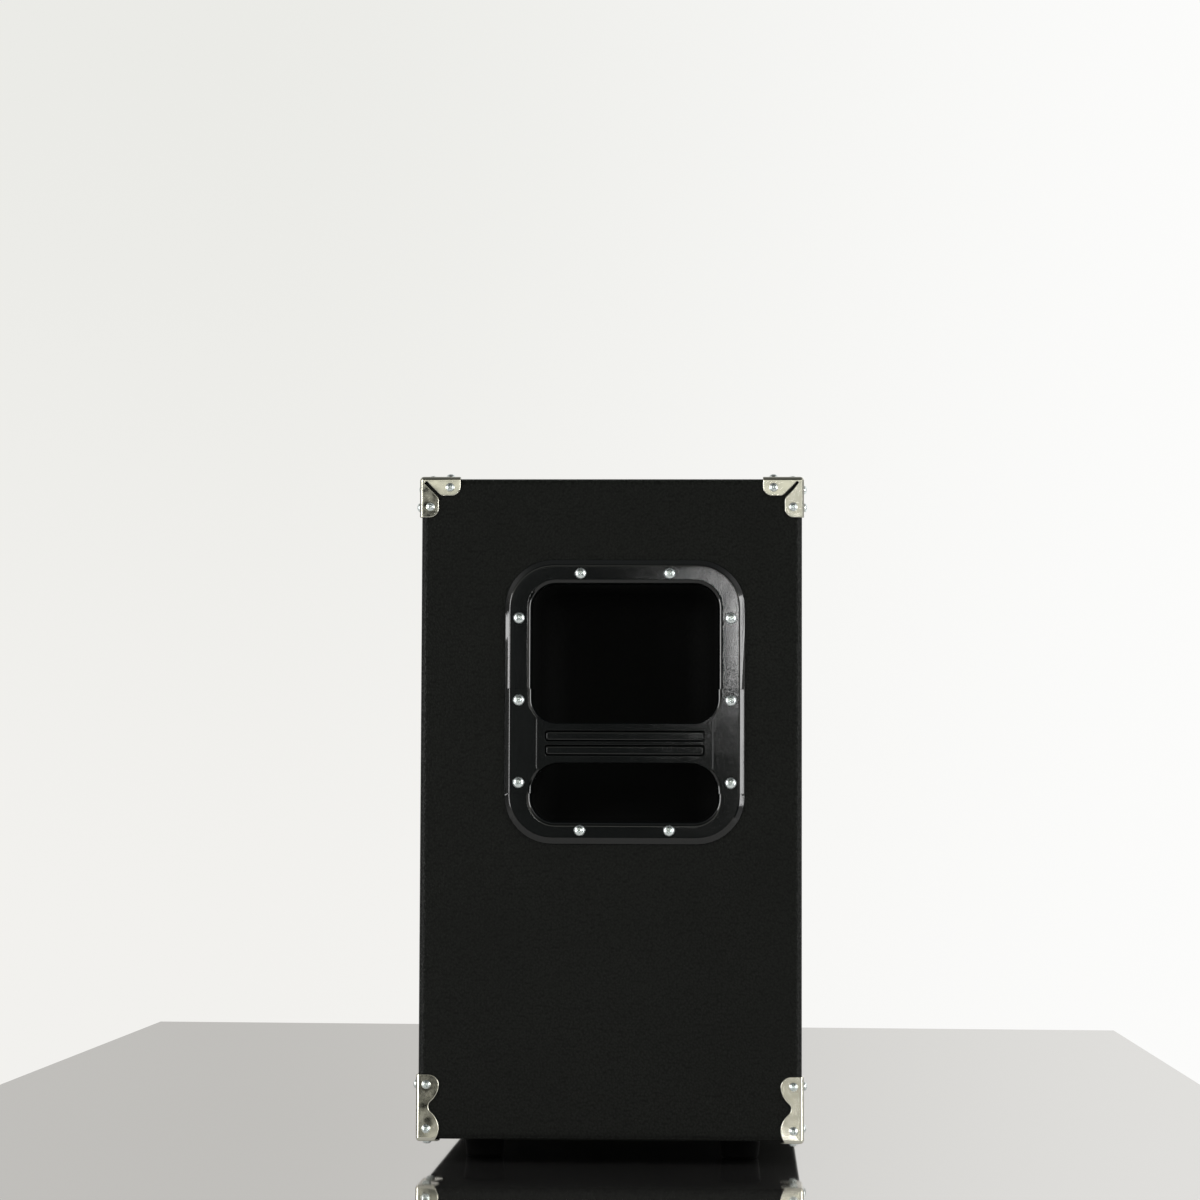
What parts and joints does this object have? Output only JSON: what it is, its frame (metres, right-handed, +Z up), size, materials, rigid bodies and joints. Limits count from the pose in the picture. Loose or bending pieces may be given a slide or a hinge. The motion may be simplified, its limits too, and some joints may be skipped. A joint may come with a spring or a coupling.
{
  "type": "empty speaker cabinet",
  "caption": "Vinyl-covered plywood cabinet for two drivers, empty, with metal corners, recessed bar handles, grille, feet and rear jack dish.",
  "frame": {"origin": "on the floor, below the middle of the cabinet", "axes": "+X along the width, -Y towards the front (grille) side, +Z up"},
  "size_m": [0.7496, 0.3446, 0.6118],
  "materials": {
    "plywood": "bare birch plywood",
    "black_plywood": "plywood painted matt black",
    "pine": "bare planed pine",
    "vinyl": "black leather-grain vinyl, semi-gloss",
    "cloth": "black open woven grille cloth",
    "handle_plastic": "black moulded plastic, glossy",
    "nickel": "nickel-plated steel, polished",
    "zinc": "zinc-plated steel",
    "rubber": "black rubber, matt",
    "foam": "black closed-cell foam",
    "nylon": "black hook-and-loop tape"
  },
  "bodies": {
    "cabinet": {"top_panel": "plywood", "bottom_panel": "plywood", "left_side_panel": "plywood", "right_side_panel": "plywood", "back_panel": "plywood", "baffle": "black_plywood", "baffle_batten_bottom": "pine", "baffle_batten_top": "pine", "baffle_batten_left": "pine", "baffle_batten_right": "pine", "back_batten_bottom": "pine", "back_batten_top": "pine", "back_batten_left": "pine", "back_batten_right": "pine", "centre_post": "pine", "vinyl_covering": "vinyl", "back_panel_covering": "vinyl", "left_handle_cup": "handle_plastic", "left_handle_bar": "handle_plastic", "right_handle_cup": "handle_plastic", "right_handle_bar": "handle_plastic", "jack_dish": "handle_plastic", "top_corner_front_left": "nickel", "top_corner_front_right": "nickel", "top_corner_back_left": "nickel", "top_corner_back_right": "nickel", "bottom_corner_front_left": "nickel", "bottom_corner_front_right": "nickel", "bottom_corner_back_left": "nickel", "bottom_corner_back_right": "nickel", "foot_screw_front_left": "zinc", "foot_screw_front_right": "zinc", "foot_screw_back_left": "zinc", "foot_screw_back_right": "zinc", "tee_nut_1": "zinc", "tee_nut_2": "zinc", "tee_nut_3": "zinc", "tee_nut_4": "zinc", "tee_nut_5": "zinc", "tee_nut_6": "zinc", "tee_nut_7": "zinc", "tee_nut_8": "zinc", "input_jack": "zinc", "link_jack": "zinc", "input_jack_nut": "zinc", "link_jack_nut": "zinc", "foot_front_left": "rubber", "foot_front_right": "rubber", "foot_back_left": "rubber", "foot_back_right": "rubber", "back_seal": "foam", "baffle_loop_strip_top": "nylon", "baffle_loop_strip_bottom": "nylon"},
    "grille": {"grille_frame": "black_plywood", "grille_cloth": "cloth", "grille_hook_strip_top": "nylon", "grille_hook_strip_bottom": "nylon"}
  },
  "joints": [
    {"name": "grille_pull", "type": "slide", "parent": "cabinet", "child": "grille", "axis": [0, -1, 0], "range_m": [0, 0.4]}
  ]
}
